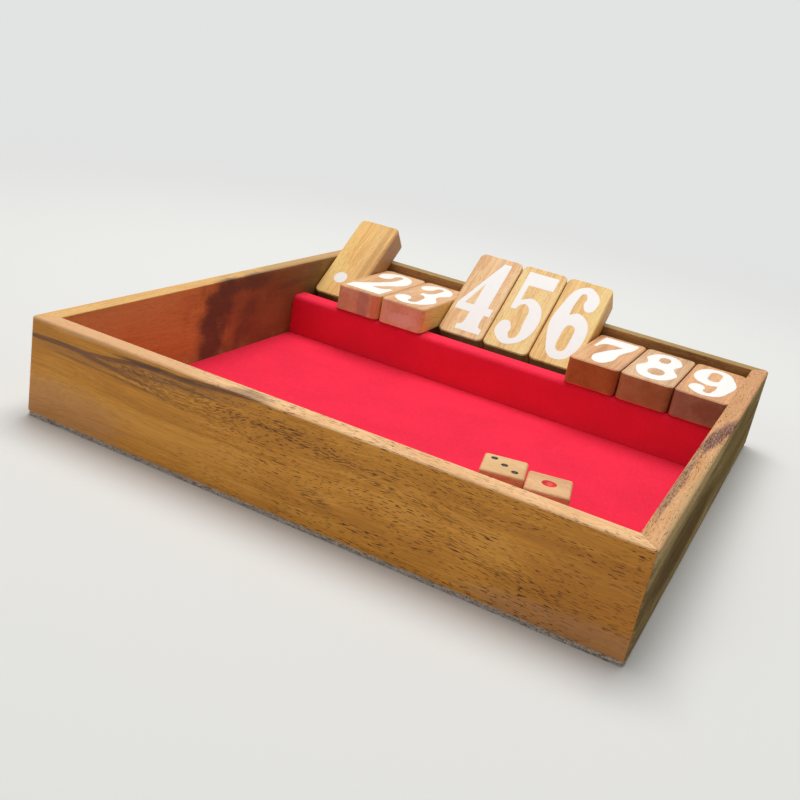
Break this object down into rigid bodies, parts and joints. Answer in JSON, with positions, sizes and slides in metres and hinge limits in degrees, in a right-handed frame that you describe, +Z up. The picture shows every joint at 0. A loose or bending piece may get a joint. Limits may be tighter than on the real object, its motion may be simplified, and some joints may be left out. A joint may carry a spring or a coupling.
{
  "type": "shut the box game",
  "caption": "Square wooden game tray with a felt floor, a row of hinged number tiles that flip back one by one, and loose wooden dice.",
  "frame": {"origin": "centre of the tray's underside, on the surface it stands on", "axes": "+X to the right along the row of tiles, as the player sees it, +Y towards the back wall that the raised tiles lean on, +Z up"},
  "size_m": [0.226, 0.2291, 0.0554],
  "materials": {
    "tray_wood": "satin lacquered hardwood",
    "rail_wood": "plain hardwood",
    "tile_wood": "satin lacquered hardwood",
    "dice_wood": "smooth pale wood",
    "fibreboard": "thin brown fibreboard",
    "red_felt": "red wool-like felt",
    "rod_steel": "plain steel rod"
  },
  "bodies": {
    "tray": {"base_panel": "fibreboard", "front_wall": "tray_wood", "back_wall": "tray_wood", "left_wall": "tray_wood", "right_wall": "tray_wood", "rail": "rail_wood", "play_felt": "red_felt", "rail_felt": "red_felt", "hinge_rod": "rod_steel"},
    "tile_1": {"number_tile_1": "tile_wood"},
    "tile_2": {"number_tile_2": "tile_wood"},
    "tile_3": {"number_tile_3": "tile_wood"},
    "tile_4": {"number_tile_4": "tile_wood"},
    "tile_5": {"number_tile_5": "tile_wood"},
    "tile_6": {"number_tile_6": "tile_wood"},
    "tile_7": {"number_tile_7": "tile_wood"},
    "tile_8": {"number_tile_8": "tile_wood"},
    "tile_9": {"number_tile_9": "tile_wood"},
    "left_die": {"die_left": "dice_wood"},
    "right_die": {"die_right": "dice_wood"}
  },
  "joints": [
    {"name": "tile_1_flip", "type": "hinge", "parent": "tray", "child": "tile_1", "pos_m": [0, 0.08507, 0.0287], "axis": [-1, 0, 0], "range_deg": [-140.89, 0]},
    {"name": "tile_2_flip", "type": "hinge", "parent": "tray", "child": "tile_2", "pos_m": [0, 0.08507, 0.0287], "axis": [-1, 0, 0], "range_deg": [0, 140.89]},
    {"name": "tile_3_flip", "type": "hinge", "parent": "tray", "child": "tile_3", "pos_m": [0, 0.08507, 0.0287], "axis": [-1, 0, 0], "range_deg": [0, 140.89]},
    {"name": "tile_4_flip", "type": "hinge", "parent": "tray", "child": "tile_4", "pos_m": [0, 0.08507, 0.0287], "axis": [-1, 0, 0], "range_deg": [-140.89, 0]},
    {"name": "tile_5_flip", "type": "hinge", "parent": "tray", "child": "tile_5", "pos_m": [0, 0.08507, 0.0287], "axis": [-1, 0, 0], "range_deg": [-140.89, 0]},
    {"name": "tile_6_flip", "type": "hinge", "parent": "tray", "child": "tile_6", "pos_m": [0, 0.08507, 0.0287], "axis": [-1, 0, 0], "range_deg": [-140.89, 0]},
    {"name": "tile_7_flip", "type": "hinge", "parent": "tray", "child": "tile_7", "pos_m": [0, 0.08507, 0.0287], "axis": [-1, 0, 0], "range_deg": [0, 140.89]},
    {"name": "tile_8_flip", "type": "hinge", "parent": "tray", "child": "tile_8", "pos_m": [0, 0.08507, 0.0287], "axis": [-1, 0, 0], "range_deg": [0, 140.89]},
    {"name": "tile_9_flip", "type": "hinge", "parent": "tray", "child": "tile_9", "pos_m": [0, 0.08507, 0.0287], "axis": [-1, 0, 0], "range_deg": [0, 140.89]},
    {"name": "left_die_lift", "type": "slide", "parent": "tray", "child": "left_die", "axis": [0, 0, 1], "range_m": [0, 0.045]},
    {"name": "right_die_lift", "type": "slide", "parent": "tray", "child": "right_die", "axis": [0, 0, 1], "range_m": [0, 0.045]}
  ]
}
